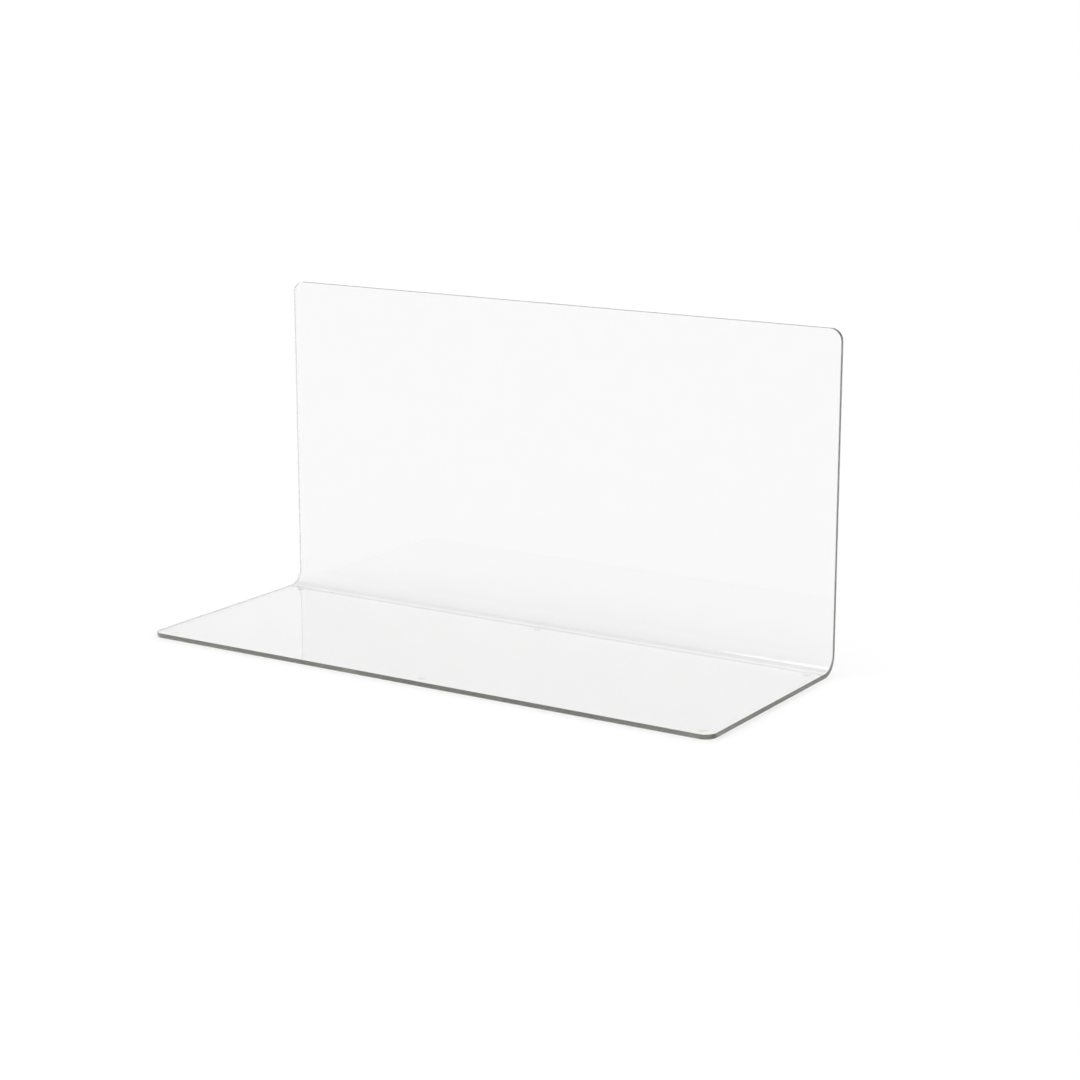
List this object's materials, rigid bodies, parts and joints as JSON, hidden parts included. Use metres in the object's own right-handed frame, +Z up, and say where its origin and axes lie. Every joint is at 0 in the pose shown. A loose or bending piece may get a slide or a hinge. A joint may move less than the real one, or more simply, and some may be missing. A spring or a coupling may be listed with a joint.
{
  "type": "clear desk screen",
  "caption": "Free-standing desk screen bent from a clear acrylic sheet into an L, with rounded corners, polished edges and anti-slip pads under the foot.",
  "frame": {"origin": "on the desk, below the middle of the screen's footprint, at the pads' lower faces", "axes": "+X to the right along the screen's width, +Y towards the back, where the upright stands, +Z up; the foot runs forward, towards -Y"},
  "size_m": [0.85, 0.328, 0.443],
  "materials": {
    "clear_acrylic": "polished",
    "frosted_pad": "satin"
  },
  "bodies": {
    "root": {"screen_sheet": "clear_acrylic", "pad_front_left": "frosted_pad", "pad_front_middle": "frosted_pad", "pad_front_right": "frosted_pad", "pad_back_left": "frosted_pad", "pad_back_middle": "frosted_pad", "pad_back_right": "frosted_pad"}
  },
  "joints": []
}
